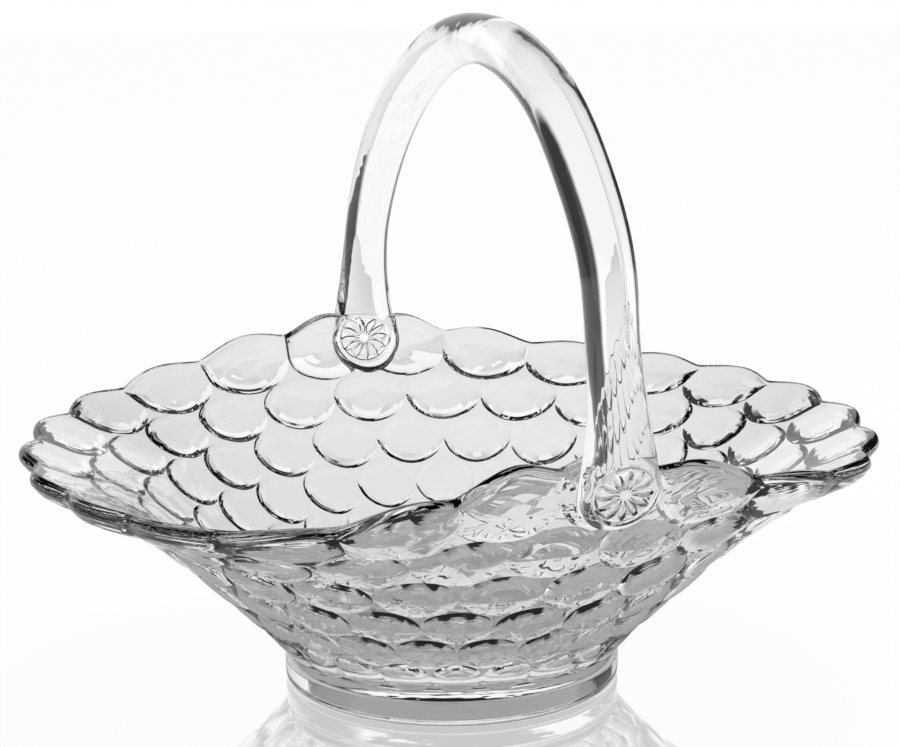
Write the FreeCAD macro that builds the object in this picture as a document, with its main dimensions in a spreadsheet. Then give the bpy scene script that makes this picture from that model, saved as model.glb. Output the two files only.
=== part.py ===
"""Pressed glass basket: a footed bowl of round bosses with a hot-applied arched handle.

Frame: millimetres, +Z up, origin on the table under the middle of the foot, -Y is the front.
The handle runs from front to back. The glass is one fused piece, so there is one node.
"""
import math
import os

import FreeCAD
import Part
import Sketcher

Vector = FreeCAD.Vector
doc = FreeCAD.newDocument("GlassBasket")

# Driving sizes: alias, value in millimetres, degrees or shares, what it sets
SIZES = [
    ("BossCount", 24, "bosses in each row"),
    ("PatternTurn", -3.75, "turn of the bosses against the handle, degrees"),
    ("FootRadius", 56.0, "foot ring outside"),
    ("FootHeight", 8.0, "height of the foot ring"),
    ("FootBevel", 1.6, "bevel at the foot ring's lower edge"),
    ("FootLedge", 1.5, "ledge between foot ring and collar"),
    ("FootRingWidth", 10.0, "ring that the basket stands on"),
    ("FootHollow", 5.0, "hollow under the foot, depth"),
    ("CollarFlare", 1.0, "how far the plain collar widens towards the bosses"),
    ("CollarRise", 4.0, "height of the plain collar above the foot ring"),
    ("RimRadius", 135.5, "rim between two lobes, away from the handle"),
    ("RimHeight", 78.8, "and its height"),
    ("Row6Out", 0.0625, "lowest row of bosses: share of the way out from collar to rim"),
    ("Row6Up", 0.093, "and share of the way up"),
    ("Row5Out", 0.206, "fifth row"),
    ("Row5Up", 0.277, "fifth row"),
    ("Row4Out", 0.369, "fourth row"),
    ("Row4Up", 0.464, "fourth row"),
    ("Row3Out", 0.5375, "third row"),
    ("Row3Up", 0.659, "third row"),
    ("Row2Out", 0.7125, "second row"),
    ("Row2Up", 0.831, "second row"),
    ("Row1Out", 0.9125, "rim row"),
    ("Row1Up", 0.955, "rim row"),
    ("LobeReach", 4.4, "how far a lobe stands out past the rim between lobes"),
    ("LobeLift", 1.4, "how much higher the lobe's tip is"),
    ("BossRise", 0.075, "height of a boss as a share of its pitch"),
    ("WallThickness", 4.6, "glass between the bosses and the smooth inside"),
    ("RimRound", 1.3, "crown of the fire-polished rim"),
    ("FoldStart", 0.664, "the handle pulls the wall outside this share of the rim's radius"),
    ("FoldPull", 21.0, "how far the rim is drawn in at the handle"),
    ("FoldLift", 18.0, "how far the rim is raised at the handle"),
    ("FloorInset", 8.5, "flat floor inside, narrower than the collar by this"),
    ("FloorStep", 2.0, "floor inside above the lowest bosses' edge"),
    ("HandleThickness", 17.0, "diameter of the handle, halfway up its arch"),
    ("HandleThinning", 1.2, "how much thinner it is at the top and above the drops"),
    ("HandleStandOut", 2.5, "handle centre line outside the rim, at its ends"),
    ("HandleDrop", 5.8, "handle's ends below the rim there"),
    ("HandleRise", 120.3, "arch of the centre line above its ends"),
    ("HandleFullness", 2.2, "2 makes the arch an ellipse, and more makes it fuller"),
    ("HandleLean", 10.5, "how far the arch leans to the front at the top"),
    ("HandleBulge", 3.2, "how far the front leg bulges out, halfway up"),
    ("HandleShift", 8.8, "handle to the right of the middle"),
    ("DropWide", 13.0, "half the width of the drop at each end of the handle"),
    ("DropDeep", 7.2, "half its depth, square to the wall"),
    ("DropLow", 12.5, "how far the drop reaches below the handle's end"),
    ("DropInwards", 0.35, "how fast the drop's tip follows the wall inwards, a share of its depth"),
    ("StampRadius", 16.0, "stamp that presses the flat face"),
    ("StampReach", 4.2, "pressed face outside the handle's centre line"),
    ("StampTilt", 20.0, "tilt of the pressed face downwards, degrees"),
    ("RosetteRadius", 8.6, "petals of the rosette"),
    ("RosetteHub", 1.8, "plain middle of the rosette"),
    ("RosetteDepth", 0.9, "depth of the petals"),
    ("PetalCount", 12, "petals"),
]
sheet = doc.addObject("Spreadsheet::Sheet", "Sizes")
for line, (alias, value, note) in enumerate(SIZES, start=1):
    sheet.set(f"A{line}", alias)
    sheet.set(f"B{line}", str(value))
    sheet.set(f"C{line}", note)
    sheet.setAlias(f"B{line}", alias)
doc.recompute()
size = {alias: float(sheet.get(alias)) for alias, value, note in SIZES}
count = int(size["BossCount"])
PITCH = 360.0 / count

# The outside of the wall, from the foot to the rim: radius and height, before the handle pulls it
COLLAR_RADIUS = size["FootRadius"] - size["FootLedge"] + size["CollarFlare"]
COLLAR = (COLLAR_RADIUS, size["FootHeight"] + size["CollarRise"])
RIM = (size["RimRadius"], size["RimHeight"])


def row_place(number):
    """Radius and height of the centres of a row of bosses; row 1 is at the rim."""
    out = size[f"Row{number}Out"]
    up = size[f"Row{number}Up"]
    return COLLAR[0] + out * (RIM[0] - COLLAR[0]), COLLAR[1] + up * (RIM[1] - COLLAR[1])


ROWS = [row_place(number) for number in (6, 5, 4, 3, 2, 1)]
PROFILE = [COLLAR] + ROWS + [RIM]
FOLD_RADIUS = size["FoldStart"] * size["RimRadius"]
FLOOR = (COLLAR[0] - size["FloorInset"], COLLAR[1] + size["FloorStep"])

# The handle's ends stand on the outside of the rim, where it is drawn in and raised
HANDLE_SPAN = RIM[0] - size["FoldPull"] + size["HandleStandOut"]
HANDLE_END = RIM[1] + size["FoldLift"] - size["HandleDrop"]

# How finely curves are divided into flat facets
RIM_PARTS = 6
BOSS_PARTS = 3
INSIDE_PARTS = 2
RING_SHARE = 0.55
LOBE_ROUND = 0.85


def wall_point(radius, height, turn):
    """Point of the outside at a turn in degrees from the back, with the pull of the handle."""
    angle = math.radians(turn)
    share = max(0.0, (radius - FOLD_RADIUS) / (size["RimRadius"] - FOLD_RADIUS)) ** 2
    pull = share * math.cos(angle) ** 8
    out = radius - size["FoldPull"] * pull
    return Vector(-out * math.sin(angle), out * math.cos(angle), height + size["FoldLift"] * pull)


def wall_normal(step, turn):
    """Outward direction of the wall at a point of PROFILE."""
    low = PROFILE[max(step - 1, 0)]
    high = PROFILE[min(step + 1, len(PROFILE) - 1)]
    upward = wall_point(*high, turn) - wall_point(*low, turn)
    here = PROFILE[step]
    across = wall_point(*here, turn + 1.0) - wall_point(*here, turn - 1.0)
    normal = across.cross(upward)
    normal.normalize()
    return normal * -1.0 if normal.z > 0 else normal


def row_turn(row, place):
    """Turn of a boss: every second row is set half a pitch on."""
    return PITCH * (place + 0.5 * (row % 2)) + size["PatternTurn"]


def boss_centre(row, place):
    """Where a boss meets the wall."""
    return wall_point(*ROWS[row], row_turn(row, place))


def between(row_a, place_a, row_b, place_b):
    """Contact of two neighbouring bosses: nearer to the smaller one."""
    share = ROWS[row_a][0] / (ROWS[row_a][0] + ROWS[row_b][0])
    first = boss_centre(row_a, place_a)
    second = boss_centre(row_b, place_b)
    if row_a == row_b:
        return wall_point(*ROWS[row_a], row_turn(row_a, place_a) + 0.5 * PITCH)
    return first + (second - first) * share


def neighbour(row, place, side):
    """Contact of a boss with the neighbour on one side."""
    step = 1 if row % 2 else 0
    if side == "right":
        return between(row, place, row, place + 1)
    if side == "left":
        return between(row, place - 1, row, place)
    if side == "upper right":
        return between(row, place, row + 1, place + step)
    if side == "upper left":
        return between(row, place, row + 1, place + step - 1)
    if side == "lower right":
        return between(row - 1, place + step, row, place)
    return between(row - 1, place + step - 1, row, place)


def collar_corner(place, side):
    """Where a boss of the lowest row stands on the collar."""
    return wall_point(*PROFILE[0], row_turn(0, place) + side * PITCH * 0.16)


def round_edge(row, place, start, end, third, parts):
    """Corners of a boss's oval edge from start to end, flat with the third corner of the web there."""
    centre = boss_centre(row, place)
    flat = (end - start).cross(third - start)
    flat.normalize()
    sweep = math.radians(60.0 if parts == BOSS_PARTS else 75.0)
    corners = []
    for part in range(1, parts):
        share = part / parts
        first = (start - centre) * (math.sin((1 - share) * sweep) / math.sin(sweep))
        last = (end - centre) * (math.sin(share * sweep) / math.sin(sweep))
        corner = centre + first + last
        corners.append(corner - flat * (corner - start).dot(flat))
    return corners


def boss_sides(row, place):
    """Round edges of a boss in order, each with the third corner of the web beside it."""
    step = 1 if row % 2 else 0
    right = neighbour(row, place, "right")
    left = neighbour(row, place, "left")
    sides = []
    if row < len(ROWS) - 1:
        upper_right = neighbour(row, place, "upper right")
        upper_left = neighbour(row, place, "upper left")
        above = neighbour(row + 1, place + step - 1, "right")
        sides += [(right, upper_right, neighbour(row, place + 1, "upper left"), BOSS_PARTS)]
        sides += [(upper_right, upper_left, above, BOSS_PARTS)]
        sides += [(upper_left, left, neighbour(row, place - 1, "upper right"), BOSS_PARTS)]
    if row > 0:
        lower_left = neighbour(row, place, "lower left")
        lower_right = neighbour(row, place, "lower right")
        below = neighbour(row - 1, place + step - 1, "right")
        sides += [(left, lower_left, neighbour(row, place - 1, "lower right"), BOSS_PARTS)]
        sides += [(lower_left, lower_right, below, BOSS_PARTS)]
        sides += [(lower_right, right, neighbour(row, place + 1, "lower left"), BOSS_PARTS)]
    else:
        sides += [(left, collar_corner(place, -1), collar_corner(place - 1, 1), BOSS_PARTS + 1)]
        sides += [(collar_corner(place, 1), right, collar_corner(place + 1, -1), BOSS_PARTS + 1)]
    return sides


def boss_outline(row, place):
    """Closed outline of a boss on the wall."""
    outline = []
    if row == len(ROWS) - 1:
        outline.append(neighbour(row, place, "right"))
        outline += [rim_corner(place, RIM_PARTS - part) for part in range(RIM_PARTS + 1)]
    for start, end, third, parts in boss_sides(row, place):
        outline.append(start)
        outline += round_edge(row, place, start, end, third, parts)
        if row == 0 and start == neighbour(row, place, "left"):
            outline.append(end)
    return outline


def web(row, place, upward):
    """Flat web beside the contact of a boss with the next one in its row, above or below it."""
    step = 1 if row % 2 else 0
    middle = neighbour(row, place, "right")
    if not upward and row == 0:
        low_left = collar_corner(place, 1)
        low_right = collar_corner(place + 1, -1)
        corners = [middle] + round_edge(0, place + 1, middle, low_right, low_left, BOSS_PARTS + 1)
        corners += [low_right, low_left]
        return facet(*corners, *round_edge(0, place, low_left, middle, low_right, BOSS_PARTS + 1))
    side = "upper" if upward else "lower"
    far = row + 1 if upward else row - 1
    first = neighbour(row, place, side + " right")
    last = neighbour(row, place + 1, side + " left")
    corners = [middle] + round_edge(row, place, middle, first, last, BOSS_PARTS)
    corners += [first] + round_edge(far, place + step, first, last, middle, BOSS_PARTS)
    corners += [last] + round_edge(row, place + 1, last, middle, first, BOSS_PARTS)
    return facet(*corners)


def facet(*corners):
    """Flat face through its corners."""
    return Part.Face(Part.makePolygon(list(corners) + [corners[0]]))


def band(outer, inner):
    """Flat facets between two closed loops of corners."""
    faces = []
    i = j = 0
    while i < len(outer) or j < len(inner):
        here = outer[i % len(outer)]
        there = inner[j % len(inner)]
        if j == len(inner) or (i < len(outer) and (i + 1) / len(outer) <= (j + 1) / len(inner)):
            faces.append(facet(here, outer[(i + 1) % len(outer)], there))
            i += 1
        else:
            faces.append(facet(here, inner[(j + 1) % len(inner)], there))
            j += 1
    return faces


def closed_solid(faces):
    """Solid inside facets that close a space."""
    skin = Part.Compound(faces)
    skin.sewShape(1e-5)
    solid = Part.Solid(Part.Shell(skin.Faces))
    if solid.Volume < 0:
        solid.reverse()
    return solid


def dome(row, place):
    """Low dome of one boss: a ring of facets and a crown over its outline."""
    outline = boss_outline(row, place)
    centre = boss_centre(row, place)
    normal = wall_normal(row + 1, row_turn(row, place))
    rise = size["BossRise"] * math.radians(PITCH) * ROWS[row][0]
    parts = len(outline) // 2
    ring = []
    for step in range(parts):
        spot = step * len(outline) / parts
        low = outline[int(spot)]
        high = outline[(int(spot) + 1) % len(outline)]
        edge = low + (high - low) * (spot - int(spot))
        ring.append(centre + (edge - centre) * RING_SHARE + normal * (rise * (1 - RING_SHARE ** 2)))
    crown = centre + normal * rise
    faces = band(outline, ring)
    for step in range(parts):
        faces.append(facet(ring[step], ring[(step + 1) % parts], crown))
    return faces


def rim_corner(place, part, inset=0.0, lift=0.0):
    """Corner of the lobed rim: which lobe, which part of it, how far in from the outside and up."""
    share = part / RIM_PARTS
    turn = PITCH * (place + share) + size["PatternTurn"]
    swell = math.sin(math.pi * share) ** LOBE_ROUND if 0 < part < RIM_PARTS else 0.0
    radius = size["RimRadius"] + size["LobeReach"] * swell
    point = wall_point(radius, size["RimHeight"] + size["LobeLift"] * swell, turn)
    upward = (wall_point(*PROFILE[-1], turn) - wall_point(*PROFILE[-2], turn)).normalize()
    return point - wall_normal(len(PROFILE) - 1, turn) * inset + upward * lift


def rim_loop(inset, lift):
    """Closed loop of corners along the rim."""
    return [rim_corner(place, part, inset, lift) for place in range(count) for part in range(RIM_PARTS)]


def inside_loop(step):
    """Closed loop of corners of the smooth inside, opposite one step of the profile."""
    turns = [PITCH * part / INSIDE_PARTS + size["PatternTurn"] for part in range(count * INSIDE_PARTS)]
    return [wall_point(*PROFILE[step], t) - wall_normal(step, t) * size["WallThickness"] for t in turns]


def floor_loop():
    """Edge of the flat floor inside."""
    turns = [PITCH * part / INSIDE_PARTS + size["PatternTurn"] for part in range(count * INSIDE_PARTS)]
    return [wall_point(*FLOOR, t) for t in turns]


def pressed_bowl():
    """Pressed bowl: bossed outside, lobed rim and smooth inside, as one closed solid."""
    faces = []
    for row in range(len(ROWS)):
        for place in range(count):
            faces += dome(row, place)
            faces.append(web(row, place, False))
            if row < len(ROWS) - 1:
                faces.append(web(row, place, True))
    thick = size["WallThickness"]
    loops = [rim_loop(0.0, 0.0), rim_loop(0.5 * thick, size["RimRound"]), rim_loop(thick, 0.0)]
    loops += [inside_loop(step) for step in reversed(range(0, len(PROFILE) - 1, 2))]
    loops.append(floor_loop())
    for outer, inner in zip(loops, loops[1:]):
        faces += band(outer, inner)
    faces.append(facet(*floor_loop()))
    collar = [collar_corner(place, side) for place in range(count) for side in (-1, 1)]
    faces.append(facet(*collar))
    return closed_solid(faces)


def origin_plane(body, role):
    """Origin plane of a body, by its role."""
    return next(item for item in body.Origin.OriginFeatures if item.Role == role)


def add_sketch(body, name, role):
    """Empty sketch on a plane of its own body."""
    sketch = body.newObject("Sketcher::SketchObject", name)
    sketch.AttachmentSupport = [(origin_plane(body, role), "")]
    sketch.MapMode = "FlatFace"
    return sketch


def add_outline(sketch, corners):
    """Closed outline of straight lines; each corner is a pair of formulas on the sizes."""
    values = [(sketch_value(x), sketch_value(y)) for x, y in corners]
    points = [Vector(x, y, 0) for x, y in values]
    first = sketch.GeometryCount
    for here, there in zip(points, points[1:] + points[:1]):
        sketch.addGeometry(Part.LineSegment(here, there), False)
    for step in range(len(points)):
        after = first + (step + 1) % len(points)
        sketch.addConstraint(Sketcher.Constraint("Coincident", first + step, 2, after, 1))
    for step, (formula_x, formula_y) in enumerate(corners):
        line = first + step
        for kind, formula, value in zip(("DistanceX", "DistanceY"), (formula_x, formula_y), values[step]):
            place = sketch.addConstraint(Sketcher.Constraint(kind, -1, 1, line, 1, value))
            if formula != "0":
                sketch.setExpression(f"Constraints[{place}]", formula)


def add_circle(sketch, formula):
    """Circle round the middle of a sketch, with the radius of a formula on the sizes."""
    sketch.addGeometry(Part.Circle(Vector(0, 0, 0), Vector(0, 0, 1), sketch_value(formula)), False)
    sketch.addConstraint(Sketcher.Constraint("Coincident", 0, 3, -1, 1))
    place = sketch.addConstraint(Sketcher.Constraint("Radius", 0, sketch_value(formula)))
    sketch.setExpression(f"Constraints[{place}]", formula)


def sketch_value(formula):
    """Number that a formula on the sizes gives now."""
    sheet.set("E1", "=" + formula.replace("Sizes.", ""))
    doc.recompute()
    number = float(sheet.get("E1"))
    sheet.clear("E1")
    return number


bowl = doc.addObject("Part::Feature", "PressedBowl")
bowl.Label = "Pressed bowl"
bowl.Shape = pressed_bowl()

# Foot: a turned ring with a ledge, hollow underneath, that runs up into the collar of the bowl
foot = doc.addObject("PartDesign::Body", "Foot")
foot.Label = "Foot ring"
foot_sketch = add_sketch(foot, "FootSection", "XZ_Plane")
ledge = "Sizes.FootRadius - Sizes.FootLedge"
hollow = "Sizes.FootRadius - Sizes.FootRingWidth"
top = "Sizes.FootHeight + Sizes.CollarRise + 0.6"
add_outline(foot_sketch, [
    ("0", "Sizes.FootHollow"),
    (hollow + " - Sizes.FootBevel", "Sizes.FootHollow"),
    (hollow, "0"),
    ("Sizes.FootRadius - Sizes.FootBevel", "0"),
    ("Sizes.FootRadius", "Sizes.FootBevel"),
    ("Sizes.FootRadius", "Sizes.FootHeight"),
    (ledge, "Sizes.FootHeight"),
    (ledge + " + Sizes.CollarFlare * 0.4", top),
    ("0", top),
])
foot_turn = foot.newObject("PartDesign::Revolution", "FootTurned")
foot_turn.Profile = foot_sketch
foot_turn.ReferenceAxis = (foot_sketch, ["V_Axis"])
foot_turn.Angle = 360.0
foot_sketch.Visibility = False
doc.recompute()

# Handle: a round rod drawn over the bowl, with a flat drop at each end that is pressed on the wall
LEG_TURN = 20.0
ARCH_PARTS = 9
HANDLE_SIDES = 20
DROP_ANGLES = (-72.0, -50.0, -26.0, 0.0)
FLARE_PARTS = 4


def handle_point(side, turn):
    """Point of the handle's centre line; turn is 0 at the end and 90 degrees at the top."""
    rise = math.sin(math.radians(turn)) ** (2 / size["HandleFullness"])
    lean = size["HandleLean"] * max(0.0, min(1.0, (rise - 0.35) / 0.55)) ** 1.3
    if side < 0:
        lean += size["HandleBulge"] * math.sin(math.pi * max(0.0, min(1.0, (rise - 0.3) / 0.5))) ** 2
    along = side * HANDLE_SPAN * math.cos(math.radians(turn)) - lean
    return Vector(size["HandleShift"], along, HANDLE_END + rise * size["HandleRise"])


def handle_ring(centre, way, wide, deep):
    """Oval section of the handle square to its way."""
    across = Vector(1, 0, 0)
    over = way.cross(across).normalize()
    turns = [math.tau * part / HANDLE_SIDES for part in range(HANDLE_SIDES)]
    return [centre + across * (wide * math.cos(t)) + over * (deep * math.sin(t)) for t in turns]


def handle_half(side):
    """Sections from the lowest point of a drop up to the top of the arch; side is -1 for the front."""
    end = handle_point(side, 0.0)
    sections = []
    for angle in DROP_ANGLES:
        low = size["DropLow"] * math.sin(math.radians(angle))
        centre = end + Vector(0, side * size["DropInwards"] * low, low)
        share = math.cos(math.radians(angle))
        sections.append((centre, Vector(0, 0, 1), size["DropWide"] * share, size["DropDeep"] * share))
    neck = (size["HandleThickness"] - size["HandleThinning"]) / 2
    for part in range(1, FLARE_PARTS + 1):
        turn = LEG_TURN * part / FLARE_PARTS
        ease = (1 - part / FLARE_PARTS) ** 2.2
        wide = neck + (size["DropWide"] - neck) * ease
        deep = neck + (size["DropDeep"] - neck) * ease
        way = handle_point(side, turn + 0.5) - handle_point(side, turn - 0.5)
        sections.append((handle_point(side, turn), way, wide, deep))
    for part in range(1, ARCH_PARTS + 1):
        share = part / ARCH_PARTS
        turn = LEG_TURN + (90.0 - LEG_TURN) * share
        ahead = handle_point(side, turn + 0.5) if part < ARCH_PARTS else handle_point(-side, 89.5)
        thick = (size["HandleThickness"] - size["HandleThinning"] * (2 * share - 1) ** 2) / 2
        sections.append((handle_point(side, turn), ahead - handle_point(side, turn - 0.5), thick, thick))
    return sections


def drawn_handle():
    """Handle with its drops as one closed solid, from the front end to the back end."""
    sections = handle_half(-1)
    for centre, way, wide, deep in reversed(handle_half(1)[:-1]):
        sections.append((centre, way * -1.0, wide, deep))
    rings = [handle_ring(*section) for section in sections]
    faces = [facet(*rings[0]), facet(*rings[-1])]
    for here, there in zip(rings, rings[1:]):
        faces += band(here, there)
    return closed_solid(faces)


handle = doc.addObject("Part::Feature", "DrawnHandle")
handle.Label = "Arched handle"
handle.Shape = drawn_handle()


def add_stamp(name, label, side):
    """Tool that presses a flat face with a rosette into a drop; side is -1 for the front."""
    body = doc.addObject("PartDesign::Body", name)
    body.Label = label
    blank_sketch = add_sketch(body, name + "Round", "XY_Plane")
    add_circle(blank_sketch, "Sizes.StampRadius")
    blank = body.newObject("PartDesign::Pad", name + "Blank")
    blank.Profile = blank_sketch
    blank.setExpression("Length", "Sizes.StampRadius / 2")
    petal_sketch = add_sketch(body, name + "Petal", "XY_Plane")
    half = "1.65 * Sizes.RosetteRadius / Sizes.PetalCount"
    add_outline(petal_sketch, [
        ("Sizes.RosetteHub", "0"),
        ("0.7 * Sizes.RosetteRadius", "-" + half),
        ("Sizes.RosetteRadius", "0"),
        ("0.7 * Sizes.RosetteRadius", half),
    ])
    petal = body.newObject("PartDesign::Pad", name + "OnePetal")
    petal.Profile = petal_sketch
    petal.Reversed = True
    petal.setExpression("Length", "Sizes.RosetteDepth")
    doc.recompute()
    petals = body.newObject("PartDesign::PolarPattern", name + "Petals")
    petals.Originals = [petal]
    petals.Axis = (petal_sketch, ["N_Axis"])
    petals.Angle = 360.0
    petals.setExpression("Occurrences", "Sizes.PetalCount")
    body.Tip = petals
    doc.recompute()
    turn = FreeCAD.Rotation(Vector(1, 0, 0), -side * (90 + size["StampTilt"]))
    face = Vector(size["HandleShift"], side * (HANDLE_SPAN + size["StampReach"]), HANDLE_END)
    body.Placement = FreeCAD.Placement(face, turn)
    return body


stamps = doc.addObject("Part::MultiFuse", "Stamps")
stamps.Label = "Rosette stamps"
stamps.Shapes = [add_stamp("FrontStamp", "Front stamp", -1), add_stamp("BackStamp", "Back stamp", 1)]
stamped = doc.addObject("Part::Cut", "StampedHandle")
stamped.Label = "Handle with rosettes"
stamped.Base = handle
stamped.Tool = stamps

basket = doc.addObject("Part::MultiFuse", "glass_basket")
basket.Label = "Glass basket"
basket.Shapes = [bowl, foot, stamped]
doc.recompute()

for item in doc.Objects:
    if "Invalid" in item.State or "Error" in item.State:
        raise RuntimeError(f"{item.Name} did not build: {item.State}")
if basket.Shape.isNull() or not basket.Shape.isValid() or len(basket.Shape.Solids) != 1:
    raise RuntimeError("the basket is not one sound solid")

os.makedirs("parts", exist_ok=True)
basket.Shape.exportStep("parts/glass_basket.step")
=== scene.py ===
"""Clear glass basket: the pressed bowl, its foot and the arched handle with its rosettes, as one glass.

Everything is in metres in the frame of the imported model: +Z up, origin on the table under the middle
of the foot, -Y towards the front end of the handle.
"""
import logging
import math
from dataclasses import dataclass, field
from enum import Enum

import bpy
from mathutils import Matrix, Vector

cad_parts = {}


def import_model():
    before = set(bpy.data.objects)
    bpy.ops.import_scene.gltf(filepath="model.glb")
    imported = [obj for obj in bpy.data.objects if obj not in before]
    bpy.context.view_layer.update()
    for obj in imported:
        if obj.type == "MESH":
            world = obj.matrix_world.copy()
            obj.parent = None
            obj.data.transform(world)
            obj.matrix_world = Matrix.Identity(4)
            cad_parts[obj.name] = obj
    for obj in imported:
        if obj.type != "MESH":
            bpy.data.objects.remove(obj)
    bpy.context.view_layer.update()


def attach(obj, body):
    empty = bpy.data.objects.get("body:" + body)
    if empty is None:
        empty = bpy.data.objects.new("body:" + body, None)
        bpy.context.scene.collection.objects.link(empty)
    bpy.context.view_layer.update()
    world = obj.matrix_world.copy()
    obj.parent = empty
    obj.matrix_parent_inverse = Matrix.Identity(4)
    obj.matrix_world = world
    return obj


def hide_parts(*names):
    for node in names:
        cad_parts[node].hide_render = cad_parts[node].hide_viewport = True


LOG = logging.getLogger("glass_basket")
MM = 0.001
# Corners nearer than this, in metres, are one corner.
DOUBLED = 1e-6
# Sockets of a colour mix node: its two colours, and its result.
MIX_FIRST, MIX_SECOND, MIX_RESULT = 6, 7, 2
WHITE = (1.0, 1.0, 1.0, 1.0)


class Side(Enum):
    """End of the handle, as the sign of Y."""

    FRONT = -1
    BACK = 1


def reckoned(
    tree: bpy.types.NodeTree,
    operation: str,
    first: bpy.types.NodeSocket,
    second: bpy.types.NodeSocket | float,
) -> bpy.types.NodeSocket:
    """Work out one value from two.

    Args:
        tree: Nodes of the material or the world.
        operation: What to do with the two, such as MAXIMUM.
        first: First value.
        second: Second value, from a node or as a number.

    Returns:
        The result.
    """
    node = tree.nodes.new("ShaderNodeMath")
    node.operation = operation
    tree.links.new(first, node.inputs[0])
    if isinstance(second, float):
        node.inputs[1].default_value = second
    else:
        tree.links.new(second, node.inputs[1])
    return node.outputs[0]


def ranged(
    tree: bpy.types.NodeTree, value: bpy.types.NodeSocket, none: float, full: float
) -> bpy.types.NodeSocket:
    """Turn a value into a share, softly.

    Args:
        tree: Nodes of the world.
        value: The value.
        none: Value at which the share is 0.
        full: Value at which the share is 1.

    Returns:
        The share.
    """
    node = tree.nodes.new("ShaderNodeMapRange")
    node.interpolation_type = "SMOOTHSTEP"
    node.inputs["From Min"].default_value = none
    node.inputs["From Max"].default_value = full
    tree.links.new(value, node.inputs["Value"])
    return node.outputs["Result"]


def mixed(
    tree: bpy.types.NodeTree,
    share: bpy.types.NodeSocket,
    none: float,
    full: bpy.types.NodeSocket | float,
) -> bpy.types.NodeSocket:
    """Mix two greys by a share.

    Args:
        tree: Nodes of the world.
        share: The share of the second grey.
        none: First grey.
        full: Second grey, from a node or as a number.

    Returns:
        The mixed grey.
    """
    node = tree.nodes.new("ShaderNodeMix")
    node.data_type = "RGBA"
    node.inputs[MIX_FIRST].default_value = (none, none, none, 1.0)
    if isinstance(full, float):
        node.inputs[MIX_SECOND].default_value = (full, full, full, 1.0)
    else:
        tree.links.new(full, node.inputs[MIX_SECOND])
    tree.links.new(share, node.inputs[0])
    return node.outputs[MIX_RESULT]


def blended(
    tree: bpy.types.NodeTree,
    share: bpy.types.NodeSocket,
    first: bpy.types.NodeSocket,
    second: bpy.types.NodeSocket,
) -> bpy.types.NodeSocket:
    """Blend two surfaces by a share.

    Args:
        tree: Nodes of the material.
        share: The share of the second surface.
        first: First surface.
        second: Second surface.

    Returns:
        The blended surface.
    """
    node = tree.nodes.new("ShaderNodeMixShader")
    tree.links.new(share, node.inputs["Fac"])
    tree.links.new(first, node.inputs[1])
    tree.links.new(second, node.inputs[2])
    return node.outputs["Shader"]


@dataclass(frozen=True)
class ClearGlass:
    """Clear fire-polished glass, faintly grey, with soft waves from the heat of the finishing."""

    tint: tuple = (0.985, 0.99, 0.988, 1.0)
    ior: float = 1.5
    wave_size: float = 42.0
    wave_depth: float = 0.05
    ripple_size: float = 160.0
    ripple_depth: float = 0.012
    bump_height: float = 0.004

    def material(self) -> bpy.types.Material:
        """Make the glass material.

        Returns:
            A material with the waves as bump on Object coordinates.
        """
        made = bpy.data.materials.new("clear_glass_fire_polished")
        made.use_nodes = True
        tree = made.node_tree
        shader = tree.nodes["Principled BSDF"]
        shader.inputs["Base Color"].default_value = self.tint
        shader.inputs["Roughness"].default_value = 0.0
        shader.inputs["IOR"].default_value = self.ior
        shader.inputs["Transmission Weight"].default_value = 1.0
        place = tree.nodes.new("ShaderNodeTexCoord")
        last = None
        for scale, depth in ((self.wave_size, self.wave_depth), (self.ripple_size, self.ripple_depth)):
            noise = tree.nodes.new("ShaderNodeTexNoise")
            noise.inputs["Scale"].default_value = scale
            noise.inputs["Detail"].default_value = 1.0
            bump = tree.nodes.new("ShaderNodeBump")
            bump.inputs["Strength"].default_value = depth
            bump.inputs["Distance"].default_value = self.bump_height
            tree.links.new(place.outputs["Object"], noise.inputs["Vector"])
            tree.links.new(noise.outputs["Fac"], bump.inputs["Height"])
            if last is not None:
                tree.links.new(last.outputs["Normal"], bump.inputs["Normal"])
            last = bump
        tree.links.new(last.outputs["Normal"], shader.inputs["Normal"])
        return made


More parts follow.
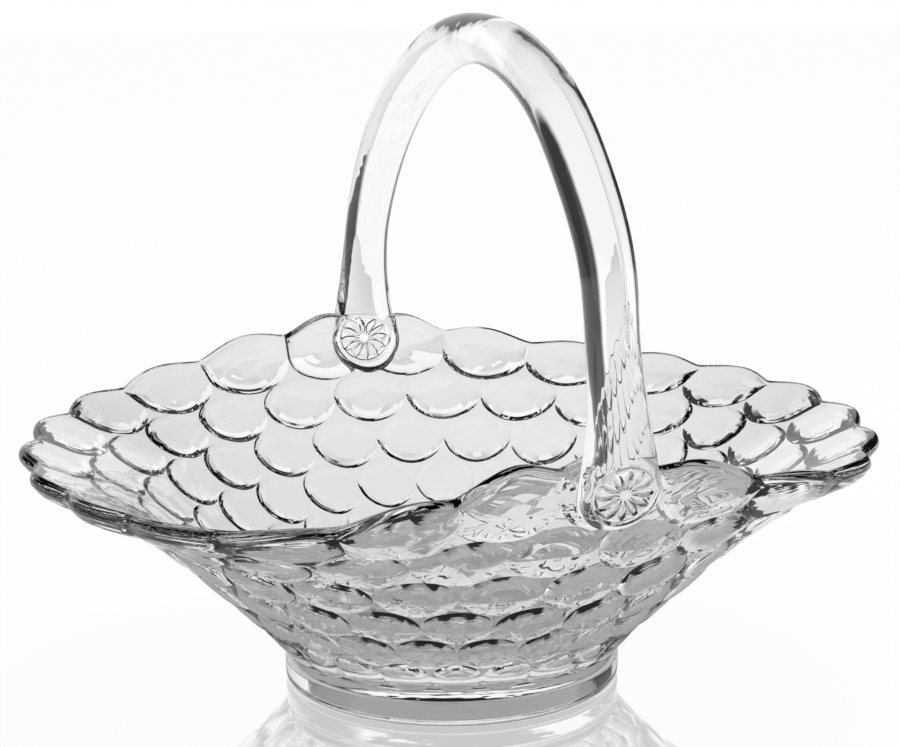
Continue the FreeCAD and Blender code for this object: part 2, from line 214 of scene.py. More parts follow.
@dataclass(frozen=True)
class PaleGround:
    """Plain pale ground, faintly polished; white to the camera, and in part to the glass."""

    colour: tuple = (0.86, 0.86, 0.86, 1.0)
    white_seen: float = 0.95
    white_through: float = 0.26
    polish: float = 0.4
    polish_blur: float = 0.035
    sheet: bool = True

    def material(self) -> bpy.types.Material:
        """Make the material of the pale sheet, or of the floor round it.

        Returns:
            A lit pale surface, mixed with plain white where it is the background, and polished.
            Round the sheet, what is seen through the glass is the room behind the floor.
        """
        made = bpy.data.materials.new("pale_sheet" if self.sheet else "pale_floor")
        made.use_nodes = True
        tree = made.node_tree
        tree.nodes.clear()
        out = tree.nodes.new("ShaderNodeOutputMaterial")
        matt = tree.nodes.new("ShaderNodeBsdfDiffuse")
        matt.inputs["Color"].default_value = self.colour
        glow = tree.nodes.new("ShaderNodeEmission")
        glow.inputs["Color"].default_value = WHITE
        glow.inputs["Strength"].default_value = 1.0
        gloss = tree.nodes.new("ShaderNodeBsdfGlossy")
        gloss.inputs["Color"].default_value = WHITE
        gloss.inputs["Roughness"].default_value = self.polish_blur
        rays = tree.nodes.new("ShaderNodeLightPath")
        by_camera, through = rays.outputs["Is Camera Ray"], rays.outputs["Is Transmission Ray"]
        white = reckoned(tree, "MULTIPLY", by_camera, self.white_seen)
        for glass_ray in (rays.outputs["Is Glossy Ray"], through):
            share = reckoned(tree, "MULTIPLY", glass_ray, self.white_through)
            white = reckoned(tree, "MAXIMUM", white, share)
        surface = blended(tree, white, matt.outputs["BSDF"], glow.outputs["Emission"])
        polish = reckoned(tree, "MULTIPLY", by_camera, self.polish)
        surface = blended(tree, polish, surface, gloss.outputs["BSDF"])
        if not self.sheet:
            clear = tree.nodes.new("ShaderNodeBsdfTransparent")
            surface = blended(tree, through, surface, clear.outputs["BSDF"])
        tree.links.new(surface, out.inputs["Surface"])
        return made


def select_only(piece: bpy.types.Object) -> None:
    """Select one object and make it active.

    Args:
        piece: The object.
    """
    bpy.ops.object.select_all(action="DESELECT")
    piece.select_set(True)
    bpy.context.view_layer.objects.active = piece


def edit_all(piece: bpy.types.Object) -> None:
    """Enter edit mode on one object with everything selected.

    Args:
        piece: The object.
    """
    select_only(piece)
    bpy.ops.object.mode_set(mode="EDIT")
    bpy.ops.mesh.select_all(action="SELECT")


def merge_and_point_outwards(piece: bpy.types.Object) -> None:
    """Merge doubled corners of a mesh and turn its faces outwards.

    Args:
        piece: The object.
    """
    edit_all(piece)
    bpy.ops.mesh.remove_doubles(threshold=DOUBLED)
    bpy.ops.mesh.normals_make_consistent(inside=False)
    bpy.ops.object.mode_set(mode="OBJECT")


def wrapped_grid(name: str, rows: list[list[Vector]]) -> bpy.types.Object:
    """Lay a grid over rows of places, as a sheet bent into its shape.

    Args:
        name: Name of the new object.
        rows: Rows of places in metres, all of the same length.

    Returns:
        The bent sheet.
    """
    across, up = len(rows[0]), len(rows)
    bpy.ops.object.select_all(action="DESELECT")
    bpy.ops.mesh.primitive_grid_add(x_subdivisions=across - 1, y_subdivisions=up - 1, size=1.0)
    sheet = bpy.context.object
    sheet.name = name
    flat = [coordinate for row in rows for point in row for coordinate in point]
    sheet.data.vertices.foreach_set("co", flat)
    sheet.data.update()
    return sheet


@dataclass
class Wall:
    """Outside of the pressed wall, with the pull of the handle; lengths in millimetres."""

    count: int = 24
    pattern_turn: float = -3.75
    collar: tuple = (55.5, 12.0)
    rim: tuple = (135.3, 78.8)
    shares: tuple = (
        (0.0625, 0.093),
        (0.206, 0.277),
        (0.369, 0.464),
        (0.5375, 0.659),
        (0.7125, 0.831),
        (0.9125, 0.955),
    )
    fold_start: float = 0.664
    fold_pull: float = 21.0
    fold_lift: float = 18.0
    fold_ease: float = 2.0
    fold_power: int = 8
    rows: list = field(default_factory=list)
    profile: list = field(default_factory=list)

    def __post_init__(self) -> None:
        """Work out the rows of bosses and the whole profile."""
        low, bottom = self.collar
        wide, high = self.rim[0] - low, self.rim[1] - bottom
        self.rows = [(low + out * wide, bottom + up * high) for out, up in self.shares]
        self.profile = [self.collar, *self.rows, self.rim]

    @property
    def pitch(self) -> float:
        """Turn from one boss to the next, in degrees."""
        return 360.0 / self.count

    def point(self, radius: float, height: float, turn: float) -> Vector:
        """Place on the outside.

        Args:
            radius: Distance from the middle before the handle pulls.
            height: Height before the handle lifts.
            turn: Turn from the back in degrees.

        Returns:
            The place in millimetres.
        """
        angle = math.radians(turn)
        start = self.fold_start * self.rim[0]
        share = max(0.0, (radius - start) / (self.rim[0] - start)) ** self.fold_ease
        pull = share * math.cos(angle) ** self.fold_power
        out = radius - self.fold_pull * pull
        return Vector((-out * math.sin(angle), out * math.cos(angle), height + self.fold_lift * pull))

    def at(self, way: float) -> tuple[float, float]:
        """Radius and height at a way along the profile, on a smooth curve through it.

        Args:
            way: 0 at the collar, and 1 more for each row, up to the rim.

        Returns:
            Radius and height in millimetres.
        """
        last = len(self.profile) - 1
        step = min(int(way), last - 1)
        share = way - step
        before = self.profile[max(step - 1, 0)]
        low, high = self.profile[step], self.profile[step + 1]
        after = self.profile[min(step + 2, last)]
        found = []
        for a, b, c, d in zip(before, low, high, after):
            bend = (2 * a - 5 * b + 4 * c - d) * share**2 + (3 * b - a - 3 * c + d) * share**3
            found.append(0.5 * (2 * b + (c - a) * share + bend))
        return found[0], found[1]

    def outward(self, way: float, turn: float) -> Vector:
        """Outward direction at a way along the profile.

        Args:
            way: Way along the profile.
            turn: Turn from the back in degrees.

        Returns:
            Unit vector.
        """
        last = len(self.profile) - 1
        low = self.at(max(way - 0.5, 0.0))
        high = self.at(min(way + 0.5, float(last)))
        upward = self.point(*high, turn) - self.point(*low, turn)
        here = self.at(way)
        across = self.point(*here, turn + 0.5) - self.point(*here, turn - 0.5)
        out = across.cross(upward).normalized()
        return -out if out.z > 0 else out

    def upward(self, turn: float) -> Vector:
        """Direction along the wall at the rim.

        Args:
            turn: Turn from the back in degrees.

        Returns:
            Unit vector.
        """
        return (self.point(*self.profile[-1], turn) - self.point(*self.profile[-2], turn)).normalized()


@dataclass
class Bosses:
    """Oval bosses pressed into the outside of the wall, in staggered rows; lengths in millimetres."""

    wall: Wall
    rise: float = 0.075
    parts: int = 8
    ring_shares: tuple = (0.975, 0.94, 0.88, 0.78, 0.6, 0.35)
    edge_power: float = 4.0
    lobe_reach: float = 4.08
    lobe_lift: float = 1.4
    lobe_round: float = 1.35
    lobe_parts: int = 16
    collar_share: float = 0.16
    edge_sweep: float = 60.0
    foot_sweep: float = 75.0

    @property
    def corners(self) -> int:
        """Corners in the outline of a boss."""
        return 6 * self.parts

    def turn(self, row: int, place: int) -> float:
        """Turn of a boss in degrees: every second row is set half a pitch on."""
        return self.wall.pitch * (place + 0.5 * (row % 2)) + self.wall.pattern_turn

    def centre(self, row: int, place: int) -> Vector:
        """Where a boss meets the wall."""
        return self.wall.point(*self.wall.rows[row], self.turn(row, place))

    def contact(self, low: tuple[int, int], high: tuple[int, int]) -> Vector:
        """Contact of two neighbouring bosses, nearer to the smaller one.

        Args:
            low: Row and place of the first boss.
            high: Row and place of the second boss.

        Returns:
            The place in millimetres.
        """
        rows = self.wall.rows
        if low[0] == high[0]:
            return self.wall.point(*rows[low[0]], self.turn(*low) + 0.5 * self.wall.pitch)
        share = rows[low[0]][0] / (rows[low[0]][0] + rows[high[0]][0])
        return self.centre(*low).lerp(self.centre(*high), share)

    def near(self, row: int, place: int, up: int, right: int) -> Vector:
        """Contact of a boss with one neighbour.

        Args:
            row: Row of the boss.
            place: Place of the boss.
            up: 1 for the row above, -1 for the row below, 0 for its own.
            right: 1 for the neighbour on the right, 0 for the left.

        Returns:
            The place in millimetres.
        """
        if up == 0:
            return self.contact((row, place + right - 1), (row, place + right))
        other = (row + up, place + row % 2 + right - 1)
        pair = ((row, place), other) if up > 0 else (other, (row, place))
        return self.contact(*pair)

    def collar_corner(self, place: int, side: float) -> Vector:
        """Where a boss of the lowest row stands on the collar."""
        turn = self.turn(0, place) + side * self.wall.pitch * self.collar_share
        return self.wall.point(*self.wall.collar, turn)

    def rim_corner(self, place: int, part: float, inset: float = 0.0, lift: float = 0.0) -> Vector:
        """Corner of the lobed rim.

        Args:
            place: Which lobe.
            part: Which part of it, from 0 to lobe_parts.
            inset: How far in from the outside.
            lift: How far up along the wall.

        Returns:
            The place in millimetres.
        """
        share = part / self.lobe_parts
        turn = self.wall.pitch * (place + share) + self.wall.pattern_turn
        swell = self.swell(share)
        radius = self.wall.rim[0] + self.lobe_reach * swell
        point = self.wall.point(radius, self.wall.rim[1] + self.lobe_lift * swell, turn)
        out = self.wall.outward(len(self.wall.profile) - 1.0, turn)
        return point - out * inset + self.wall.upward(turn) * lift

    def swell(self, share: float) -> float:
        """How far a lobe stands out at a share of its width, from 0 to 1."""
        return max(math.sin(math.pi * share), 0.0) ** self.lobe_round if 0.0 < share < 1.0 else 0.0

    def arc(
        self, centre: Vector, start: Vector, end: Vector, third: Vector, sweep: float | None = None
    ) -> list[Vector]:
        """Corners of an oval edge from start up to end, flat with the third corner of the web there.

        Args:
            centre: Centre of the boss.
            start: First corner, which is given back too.
            end: Last corner, which isn't.
            third: Third corner of the web beside the edge.
            sweep: Turn of the edge about the centre in degrees, edge_sweep where none is given.

        Returns:
            As many corners as parts.
        """
        flat = (end - start).cross(third - start).normalized()
        angle = math.radians(sweep or self.edge_sweep)
        found = [start]
        for part in range(1, self.parts):
            share = part / self.parts
            corner = centre.copy()
            corner += (start - centre) * (math.sin((1 - share) * angle) / math.sin(angle))
            corner += (end - centre) * (math.sin(share * angle) / math.sin(angle))
            found.append(corner - flat * (corner - start).dot(flat))
        return found

    def upper_edge(self, row: int, place: int) -> list[Vector]:
        """Outline of a boss over its top, from its right contact up to its left one.

        Args:
            row: Row of the boss.
            place: Place of the boss.

        Returns:
            Half of the outline.
        """
        right, left = self.near(row, place, 0, 1), self.near(row, place, 0, 0)
        if row == len(self.wall.rows) - 1:
            side = self.parts // 2
            tops = [self.rim_corner(place, part) for part in range(self.lobe_parts, -1, -1)]
            rise = [right.lerp(tops[0], part / side) for part in range(side)]
            fall = [tops[-1].lerp(left, part / side) for part in range(side)]
            return rise + tops[:-1] + fall
        centre, step = self.centre(row, place), row % 2
        upper_right, upper_left = self.near(row, place, 1, 1), self.near(row, place, 1, 0)
        above = self.near(row + 1, place + step - 1, 0, 1)
        edge = self.arc(centre, right, upper_right, self.near(row, place + 1, 1, 0))
        edge += self.arc(centre, upper_right, upper_left, above)
        return edge + self.arc(centre, upper_left, left, self.near(row, place - 1, 1, 1))

    def lower_edge(self, row: int, place: int) -> list[Vector]:
        """Outline of a boss under it, from its left contact round to its right one.

        Args:
            row: Row of the boss.
            place: Place of the boss.

        Returns:
            Half of the outline.
        """
        right, left = self.near(row, place, 0, 1), self.near(row, place, 0, 0)
        centre, step = self.centre(row, place), row % 2
        if row == 0:
            low_left, low_right = self.collar_corner(place, -1), self.collar_corner(place, 1)
            edge = self.arc(centre, left, low_left, self.collar_corner(place - 1, 1), self.foot_sweep)
            edge += [low_left.lerp(low_right, part / self.parts) for part in range(self.parts)]
            beside = self.collar_corner(place + 1, -1)
            return edge + self.arc(centre, low_right, right, beside, self.foot_sweep)
        lower_left, lower_right = self.near(row, place, -1, 0), self.near(row, place, -1, 1)
        below = self.near(row - 1, place + step - 1, 0, 1)
        edge = self.arc(centre, left, lower_left, self.near(row, place - 1, -1, 1))
        edge += self.arc(centre, lower_left, lower_right, below)
        return edge + self.arc(centre, lower_right, right, self.near(row, place + 1, -1, 0))

    def blank(self) -> bpy.types.Object:
        """Model one flat round boss with its rings, once, with a crisp edge.

        Returns:
            A disc of radius 1.
        """
        bpy.ops.object.select_all(action="DESELECT")
        bpy.ops.mesh.primitive_circle_add(vertices=self.corners, radius=1.0, fill_type="NGON")
        disc = bpy.context.object
        disc.name = "boss_blank"
        edit_all(disc)
        bpy.ops.mesh.region_to_loop()
        bpy.ops.mesh.mark_sharp()
        bpy.ops.mesh.select_all(action="SELECT")
        before = 1.0
        for share in self.ring_shares:
            bpy.ops.mesh.inset(thickness=before - share)
            before = share
        bpy.ops.mesh.poke()
        bpy.ops.object.mode_set(mode="OBJECT")
        return disc

    def shaped(self, blank: bpy.types.Object, row: int, place: int) -> bpy.types.Object:
        """Copy the blank and shape it into the low dome of one boss.

        Args:
            blank: The flat boss.
            row: Row of the boss.
            place: Place of the boss.

        Returns:
            The copy, in its place on the wall.
        """
        boss = blank.copy()
        boss.data = blank.data.copy()
        bpy.context.collection.objects.link(boss)
        outline = self.upper_edge(row, place) + self.lower_edge(row, place)
        centre = self.centre(row, place)
        out = self.wall.outward(row + 1.0, self.turn(row, place))
        rise = self.rise * math.radians(self.wall.pitch) * self.wall.rows[row][0]
        shares = (1.0, *self.ring_shares, 0.0)
        for corner in boss.data.vertices:
            length = Vector(corner.co[:2]).length
            share = min(shares, key=lambda known: abs(known - length))
            angle = math.atan2(corner.co.y, corner.co.x)
            around = round(angle / math.tau * self.corners) % self.corners
            swollen = out * (rise * (1 - share**self.edge_power))
            corner.co = (centre + (outline[around] - centre) * share + swollen) * MM
        return boss


@dataclass
class PressedBowl:
    """Pressed bowl with bosses outside, a lobed rim and a smooth inside.

    Lengths are in millimetres, but weld is in metres.
    """

    bosses: Bosses
    thickness: float = 4.6
    crown: float = 1.5
    crown_parts: int = 10
    floor: tuple = (47.0, 14.0)
    floor_steps: tuple = ((0.99, 0.9), (0.96, 0.35), (0.92, 0.08), (0.85, 0.0), (0.5, 0.0), (0.0, 0.0))
    inside_steps: int = 3
    inside_end: float = 0.4
    weld: float = 2e-6

    def inside(self, way: float, turn: float, swell: float) -> Vector:
        """Place on the smooth inside.

        Args:
            way: Way along the profile.
            turn: Turn from the back in degrees.
            swell: How far the rim's lobe stands out there, from 0 to 1.

        Returns:
            The place in millimetres.
        """
        wall = self.bosses.wall
        radius, height = wall.at(way)
        lobed = swell * max(0.0, way - (len(wall.profile) - 2))
        radius += self.bosses.lobe_reach * lobed
        height += self.bosses.lobe_lift * lobed
        return wall.point(radius, height, turn) - wall.outward(way, turn) * self.thickness

    def rim_and_inside(self) -> bpy.types.Object:
        """Bend one sheet over the rim, down the inside and across the floor.

        Returns:
            The sheet.
        """
        wall, bosses = self.bosses.wall, self.bosses
        marks = [(place, part) for place in range(wall.count) for part in range(bosses.lobe_parts)]
        marks.append((wall.count, 0))
        rows = []
        for step in range(self.crown_parts + 1):
            angle = math.pi * step / self.crown_parts
            inset = self.thickness * 0.5 * (1 - math.cos(angle))
            lift = self.crown * math.sin(angle)
            rows.append([bosses.rim_corner(p, k, inset, lift) for p, k in marks])
        last = len(wall.profile) - 1
        turns = [wall.pitch * (p + k / bosses.lobe_parts) + wall.pattern_turn for p, k in marks]
        swells = [bosses.swell(k / bosses.lobe_parts) for p, k in marks]
        for step in range(1, last * self.inside_steps + 1):
            way = last - step / self.inside_steps
            if way < self.inside_end:
                break
            rows.append([self.inside(way, t, s) for t, s in zip(turns, swells)])
        for share, height in self.floor_steps:
            rows.append([wall.point(self.floor[0] * share, self.floor[1] + height, t) for t in turns])
        return wrapped_grid("rim_and_inside", [[point * MM for point in row] for row in rows])

    def underside(self) -> bpy.types.Object:
        """Close the bowl under its lowest bosses with a flat disc that the foot covers.

        Returns:
            The disc.
        """
        bosses = self.bosses
        edge = []
        for place in range(bosses.wall.count):
            low_left, low_right = bosses.collar_corner(place, -1), bosses.collar_corner(place, 1)
            edge += [low_left.lerp(low_right, part / bosses.parts) for part in range(bosses.parts + 1)]
        edge.append(edge[0])
        middle = Vector((0.0, 0.0, bosses.wall.collar[1]))
        return wrapped_grid("underside", [[p * MM for p in edge], [middle * MM for p in edge]])

    def build(self) -> bpy.types.Object:
        """Join the bosses, the rim, the inside and the underside, and fill the webs.

        Returns:
            The closed bowl.
        """
        blank = self.bosses.blank()
        parts = [self.rim_and_inside(), self.underside()]
        for row in range(len(self.bosses.wall.rows)):
            parts += [self.bosses.shaped(blank, row, place) for place in range(self.bosses.wall.count)]
        bpy.data.objects.remove(blank)
        select_only(parts[0])
        for part in parts[1:]:
            part.select_set(True)
        bpy.ops.object.join()
        bowl = bpy.context.object
        bowl.name = "pressed_bowl"
        edit_all(bowl)
        bpy.ops.mesh.remove_doubles(threshold=self.weld)
        bpy.ops.mesh.select_all(action="SELECT")
        bpy.ops.mesh.fill_holes(sides=4 * self.bosses.parts)
        bpy.ops.mesh.select_all(action="SELECT")
        bpy.ops.mesh.normals_make_consistent(inside=False)
        bpy.ops.object.mode_set(mode="OBJECT")
        return bowl


@dataclass
class FootRing:
    """Turned foot with a soft lower edge and a ledge, hollow underneath; lengths in millimetres."""

    segments: int = 192
    corner_parts: int = 7
    corners: tuple = (
        (0.0, 5.0, 0.0),
        (45.2, 5.0, 1.2),
        (46.2, 0.0, 1.0),
        (56.0, 0.0, 2.6),
        (56.0, 8.0, 1.0),
        (54.5, 8.2, 0.4),
        (54.9, 12.6, 0.0),
        (0.0, 12.6, 0.0),
    )

    def section(self) -> list[tuple[float, float]]:
        """Round each corner with its own radius.

        Returns:
            Radius and height of each place, from under the middle, round the rim, to the top.
        """
        found = []
        last = len(self.corners) - 1
        for step, (radius, height, round_by) in enumerate(self.corners):
            here = Vector((radius, height))
            if round_by == 0.0:
                found.append(tuple(here))
                continue
            back = (Vector(self.corners[max(step - 1, 0)][:2]) - here).normalized()
            ahead = (Vector(self.corners[min(step + 1, last)][:2]) - here).normalized()
            half = back.angle(ahead) / 2
            centre = here + (back + ahead).normalized() * (round_by / math.sin(half))
            first = here + back * (round_by / math.tan(half)) - centre
            end = here + ahead * (round_by / math.tan(half)) - centre
            for part in range(self.corner_parts + 1):
                spoke = first.slerp(end, part / self.corner_parts)
                found.append(tuple(centre + spoke.normalized() * round_by))
        return found

    def build(self) -> bpy.types.Object:
        """Turn the section round the axis.

        Returns:
            The closed foot.
        """
        turns = [math.tau * part / self.segments for part in range(self.segments + 1)]
        spokes = [Vector((math.cos(t), math.sin(t), 0.0)) for t in turns]
        up = Vector((0.0, 0.0, 1.0))
        rows = []
        for radius, height in self.section():
            rows.append([(spoke * radius + up * height) * MM for spoke in spokes])
        foot = wrapped_grid("foot_ring", rows)
        merge_and_point_outwards(foot)
        return foot


@dataclass
class ArchedHandle:
    """Thick round handle with a flat drop at each end, drawn out hot; lengths in millimetres."""

    span: float = 117.0
    end: float = 91.0
    rise: float = 120.28
    fullness: float = 2.2
    lean: float = 10.5
    lean_from: float = 0.35
    lean_over: float = 0.55
    lean_ease: float = 1.3
    bulge: float = 3.2
    bulge_from: float = 0.3
    bulge_over: float = 0.5
    shift: float = 8.8
    leg_turn: float = 20.0
    aim: float = 0.5
    thickness: float = 17.0
    thinning: float = 1.2
    drop_wide: float = 13.0
    drop_deep: float = 7.05
    drop_low: float = 12.5
    drop_inwards: float = 0.35
    flare_ease: float = 2.2
    arch_parts: int = 60
    drop_parts: int = 14
    flare_parts: int = 16
    parts_around: int = 48

    def spot(self, side: float, turn: float) -> Vector:
        """Place on the middle line of the arch.

        Args:
            side: -1 on the front half, 1 on the back half.
            turn: 0 at the end of the half and 90 at the top.

        Returns:
            The place in millimetres.
        """
        rise = math.sin(math.radians(turn)) ** (2 / self.fullness)
        bent = max(0.0, min(1.0, (rise - self.lean_from) / self.lean_over))
        lean = self.lean * bent**self.lean_ease
        if side < 0:
            out = max(0.0, min(1.0, (rise - self.bulge_from) / self.bulge_over))
            lean += self.bulge * math.sin(math.pi * out) ** 2
        along = side * self.span * math.cos(math.radians(turn)) - lean
        return Vector((self.shift, along, self.end + rise * self.rise))

    def ring(self, centre: Vector, way: Vector, wide: float, deep: float) -> list[Vector]:
        """Oval section of the handle square to its way.

        Args:
            centre: Middle of the section.
            way: Direction of the rod there.
            wide: Half its width along X.
            deep: Half its depth.

        Returns:
            Places round the section, the first one given twice.
        """
        across = Vector((1.0, 0.0, 0.0))
        over = way.cross(across).normalized()
        turns = [math.tau * part / self.parts_around for part in range(self.parts_around + 1)]
        found = [across * (wide * math.cos(t)) + over * (deep * math.sin(t)) for t in turns]
        return [(centre + place) * MM for place in found]

    def half(self, side: Side) -> list[tuple[Vector, Vector, float, float]]:
        """Sections from the tip of one drop up to the top of the arch.

        Args:
            side: Which end of the handle.

        Returns:
            Centre, way, half width and half depth of each section.
        """
        sign = side.value
        end = self.spot(sign, 0.0)
        sections = []
        for step in range(self.drop_parts + 1):
            angle = math.pi / 2 * (step / self.drop_parts - 1)
            low = self.drop_low * math.sin(angle)
            centre = end + Vector((0.0, sign * self.drop_inwards * low, low))
            wide, deep = self.drop_wide * math.cos(angle), self.drop_deep * math.cos(angle)
            sections.append((centre, Vector((0.0, 0.0, 1.0)), wide, deep))
        neck = (self.thickness - self.thinning) / 2
        for step in range(1, self.flare_parts + 1):
            turn = self.leg_turn * step / self.flare_parts
            ease = (1 - step / self.flare_parts) ** self.flare_ease
            wide = neck + (self.drop_wide - neck) * ease
            deep = neck + (self.drop_deep - neck) * ease
            way = self.spot(sign, turn + self.aim) - self.spot(sign, turn - self.aim)
            sections.append((self.spot(sign, turn), way, wide, deep))
        for step in range(1, self.arch_parts + 1):
            share = step / self.arch_parts
            turn = self.leg_turn + (90.0 - self.leg_turn) * share
            ahead = self.spot(sign, turn + self.aim)
            if step == self.arch_parts:
                ahead = self.spot(-sign, turn - self.aim)
            way = ahead - self.spot(sign, turn - self.aim)
            thick = (self.thickness - self.thinning * (2 * share - 1) ** 2) / 2
            sections.append((self.spot(sign, turn), way, thick, thick))
        return sections

    def build(self) -> bpy.types.Object:
        """Bend a sheet round the sections, from the front drop to the back drop.

        Returns:
            The closed rod.
        """
        sections = self.half(Side.FRONT)
        back = self.half(Side.BACK)[:-1]
        sections += [(centre, -way, wide, deep) for centre, way, wide, deep in reversed(back)]
        rod = wrapped_grid("arched_handle", [self.ring(*section) for section in sections])
        merge_and_point_outwards(rod)
        return rod


@dataclass
class RosetteStamp:
    """Round tool that presses a rosette into a drop of the handle; lengths in millimetres."""

    side: Side
    radius: float = 16.0
    depth: float = 8.0
    petal_reach: float = 8.6
    petal_depth: float = 0.9
    hub: float = 1.8
    petals: int = 12
    petal_width: float = 0.92
    petal_taper: float = 0.8
    petal_round: float = 0.6
    petal_sides: float = 0.7
    ring_radius: float = 9.6
    ring_width: float = 1.1
    ring_depth: float = 0.8
    tilt: float = 20.0
    reach: float = 4.2
    parts_around: int = 192
    parts_across: int = 36

    def height(self, radius: float, angle: float) -> float:
        """Height of the stamp's face.

        Args:
            radius: Distance from the middle of the face.
            angle: Angle round it in radians.

        Returns:
            Height in millimetres, below 0 where the stamp stands out.
        """
        groove = abs(radius - self.ring_radius) / self.ring_width
        if groove < 1.0:
            return -self.ring_depth * (0.5 + 0.5 * math.cos(math.pi * groove))
        share = (radius - self.hub) / (self.petal_reach - self.hub)
        if not 0.0 < share < 1.0:
            return 0.0
        pitch = math.tau / self.petals
        off = abs((angle / pitch + 0.5) % 1.0 - 0.5) * 2
        width = self.petal_width * math.sin(math.pi * share**self.petal_taper) ** self.petal_round
        if off >= width:
            return 0.0
        return -self.petal_depth * (1 - (off / width) ** 2) ** self.petal_sides

    def build(self, handle: ArchedHandle) -> bpy.types.Object:
        """Bend a sheet into the stamp and hold it against its drop.

        Args:
            handle: The handle that it presses.

        Returns:
            The closed stamp.
        """
        turns = [math.tau * part / self.parts_around for part in range(self.parts_around + 1)]
        rows = [[Vector((0.0, 0.0, self.depth)) for t in turns]]
        rows.append([self.spot(self.radius, t, self.depth) for t in turns])
        for step in range(self.parts_across + 1):
            across = self.radius * (1 - step / self.parts_across)
            rows.append([self.spot(across, t, self.height(across, t)) for t in turns])
        sign = self.side.value
        turned = Matrix.Rotation(math.radians(-sign * (90.0 + self.tilt)), 3, "X")
        face = Vector((handle.shift, sign * (handle.span + self.reach), handle.end))
        placed = [[(turned @ point + face) * MM for point in row] for row in rows]
        stamp = wrapped_grid("rosette_stamp_" + self.side.name.lower(), placed)
        merge_and_point_outwards(stamp)
        return stamp

    def spot(self, radius: float, angle: float, height: float) -> Vector:
        """Place on the stamp before it is turned to its drop."""
        return Vector((radius * math.cos(angle), radius * math.sin(angle), height))


@dataclass
class GlassBasket:
    """The whole basket: bowl, foot and stamped handle fused into one clear glass."""

    bowl: PressedBowl
    foot: FootRing
    handle: ArchedHandle
    stamps: tuple
    finish: ClearGlass
    smooth_angle: float = 32.0

    def combine(self, whole: bpy.types.Object, part: bpy.types.Object, way: str) -> None:
        """Fuse one part into the whole, or press it in.

        Args:
            whole: The object that stays.
            part: The object that goes.
            way: UNION or DIFFERENCE.
        """
        joint = whole.modifiers.new("joint", "BOOLEAN")
        joint.operation = way
        joint.solver = "EXACT"
        joint.object = part
        select_only(whole)
        bpy.ops.object.modifier_apply(modifier=joint.name)
        LOG.info("%s of %s: %d faces", way.lower(), part.name, len(whole.data.polygons))
        bpy.data.objects.remove(part)

    def build(self) -> bpy.types.Object:
        """Model the parts, fuse them and dress the glass.

        Returns:
            The finished piece.
        """
        handle = self.handle.build()
        for stamp in self.stamps:
            self.combine(handle, stamp.build(self.handle), "DIFFERENCE")
        whole = self.bowl.build()
        LOG.info("pressed bowl: %d faces", len(whole.data.polygons))
        self.combine(whole, self.foot.build(), "UNION")
        self.combine(whole, handle, "UNION")
        whole.name = "fused_glass_basket"
        select_only(whole)
        angle = math.radians(self.smooth_angle)
        bpy.ops.object.shade_smooth_by_angle(angle=angle, keep_sharp_edges=True)
        whole.data.materials.clear()
        whole.data.materials.append(self.finish.material())
        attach(whole, "root")
        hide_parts("glass_basket")
        LOG.info("fused basket: %d faces", len(whole.data.polygons))
        return whole


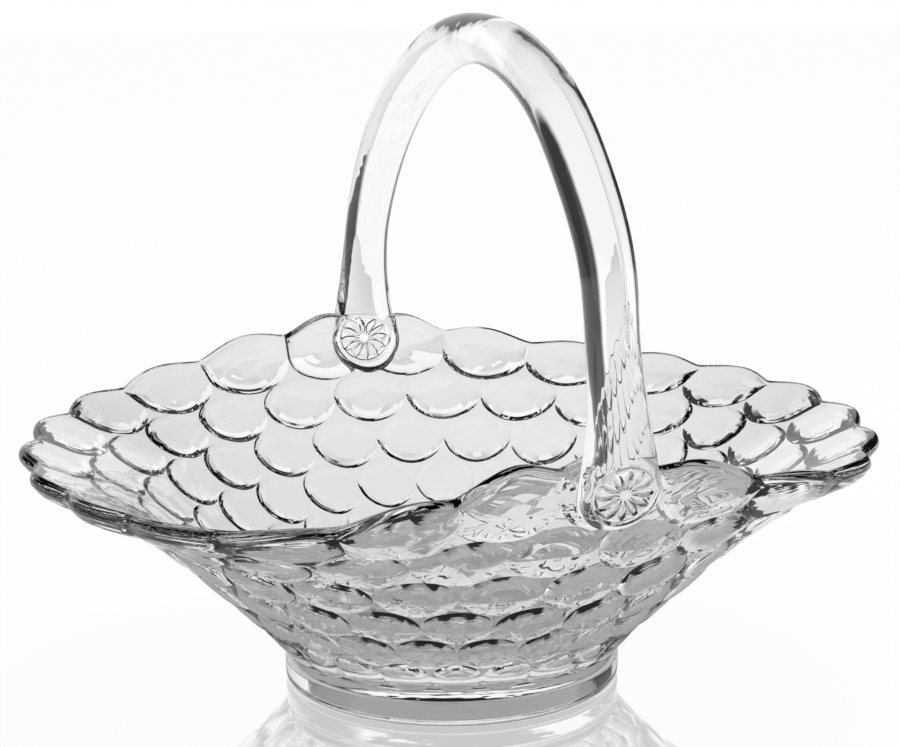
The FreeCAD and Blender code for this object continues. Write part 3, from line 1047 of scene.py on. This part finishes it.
@dataclass
class Studio:
    """Plain pale ground and backdrop, soft light, and the camera at the photograph's angle; metres."""

    eye: tuple = (-0.2546, -0.6986, 0.2669)
    target: tuple = (0.0, 0.0, 0.0816)
    lens: float = 92.78
    film: float = 36.0
    roll: float = -0.643
    shift: tuple = (0.0008, 0.0682)
    sheet: tuple = (0.2, 0.3, 0.9)
    floor_reach: float = 3.0
    room: float = 0.32
    dark: float = 0.04
    ceiling: tuple = (0.385, 0.5)
    cards: tuple = ((-46.0, 32.0), (75.0, 30.0))
    card_edge: float = 6.0
    lamp_place: tuple = (0.25, 0.25, 0.95)
    lamp_power: float = 6.0
    lamp_size: float = 0.3

    @property
    def away(self) -> Vector:
        """Level direction in which the camera looks."""
        return Vector((-self.eye[0], -self.eye[1], 0.0)).normalized()

    def camera(self) -> None:
        """Set the camera where the photograph was taken from."""
        look = Vector(self.target) - Vector(self.eye)
        turn = look.to_track_quat("-Z", "Y").to_matrix()
        turn @= Matrix.Rotation(math.radians(self.roll), 3, "Z")
        bpy.ops.object.camera_add(location=self.eye, rotation=turn.to_euler())
        camera = bpy.context.object
        camera.data.lens = self.lens
        camera.data.sensor_width = self.film
        camera.data.shift_x, camera.data.shift_y = self.shift
        bpy.context.scene.camera = camera

    def ground(self) -> None:
        """Lay a long pale sheet that runs away behind the basket, and the floor round it."""
        half, near, far = self.sheet
        away = self.away
        aside = Vector((away.y, -away.x, 0.0))
        ways = (-self.floor_reach, -near, far, self.floor_reach)
        spots = (-self.floor_reach, -half, half, self.floor_reach)
        rows = [[away * way + aside * spot for spot in spots] for way in ways]
        ground = wrapped_grid("pale_ground", rows)
        ground.data.materials.append(PaleGround(sheet=False).material())
        ground.data.materials.append(PaleGround().material())
        for face in ground.data.polygons:
            along, beside = face.center.dot(away), face.center.dot(aside)
            face.material_index = int(-near < along < far and abs(beside) < half)

    def surroundings(self) -> None:
        """Make the room: plain white to the camera and in the polish of the ground.

        Glass also shows a dark ceiling and a dark card on each side, and the light that falls on
        matt surfaces is the plain level of the room.
        """
        world = bpy.data.worlds.new("soft_room")
        bpy.context.scene.world = world
        world.use_nodes = True
        tree = world.node_tree
        place = tree.nodes.new("ShaderNodeTexCoord").outputs["Generated"]
        parts = tree.nodes.new("ShaderNodeSeparateXYZ")
        tree.links.new(place, parts.inputs[0])
        light = ranged(tree, parts.outputs["Z"], self.ceiling[1], self.ceiling[0])
        for turn, half in self.cards:
            card = tree.nodes.new("ShaderNodeVectorMath")
            card.operation = "DOT_PRODUCT"
            card.inputs[1].default_value = Matrix.Rotation(math.radians(turn), 3, "Z") @ self.away
            tree.links.new(place, card.inputs[0])
            edge, inner = math.cos(math.radians(half)), math.cos(math.radians(half - self.card_edge))
            beside = ranged(tree, card.outputs["Value"], inner, edge)
            light = reckoned(tree, "MULTIPLY", light, beside)
        rays = tree.nodes.new("ShaderNodeLightPath").outputs
        by_glass = reckoned(tree, "MAXIMUM", rays["Is Singular Ray"], rays["Transmission Depth"])
        plain = ranged(tree, by_glass, 1.0, 0.0)
        shown = mixed(tree, reckoned(tree, "MAXIMUM", plain, light), self.dark, 1.0)
        seen = reckoned(tree, "MAXIMUM", rays["Is Glossy Ray"], rays["Is Transmission Ray"])
        seen = reckoned(tree, "MAXIMUM", rays["Is Camera Ray"], seen)
        level = mixed(tree, seen, self.room, shown)
        tree.links.new(level, tree.nodes["Background"].inputs["Color"])

    def lamp(self) -> None:
        """Hang a lamp above the basket, to the back and right, that the glass doesn't mirror."""
        bpy.ops.object.light_add(type="AREA", location=self.lamp_place)
        lamp = bpy.context.object
        lamp.name = "soft_lamp"
        lamp.data.shape = "DISK"
        lamp.data.size = self.lamp_size
        lamp.data.energy = self.lamp_power
        lamp.visible_glossy = False
        lamp.visible_transmission = False

    def build(self) -> None:
        """Make the camera, the ground, the surroundings and the lamp."""
        self.camera()
        self.ground()
        self.surroundings()
        self.lamp()
        bpy.context.scene.view_settings.view_transform = "Standard"


def main() -> None:
    """Load the frame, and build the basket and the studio."""
    logging.basicConfig(level=logging.INFO, format="%(name)s: %(message)s")
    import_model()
    wall = Wall()
    basket = GlassBasket(
        bowl=PressedBowl(Bosses(wall)),
        foot=FootRing(),
        handle=ArchedHandle(),
        stamps=(RosetteStamp(Side.FRONT), RosetteStamp(Side.BACK)),
        finish=ClearGlass(),
    )
    piece = basket.build()
    LOG.info("%s is done", piece.name)
    Studio().build()


if __name__ == "__main__":
    main()
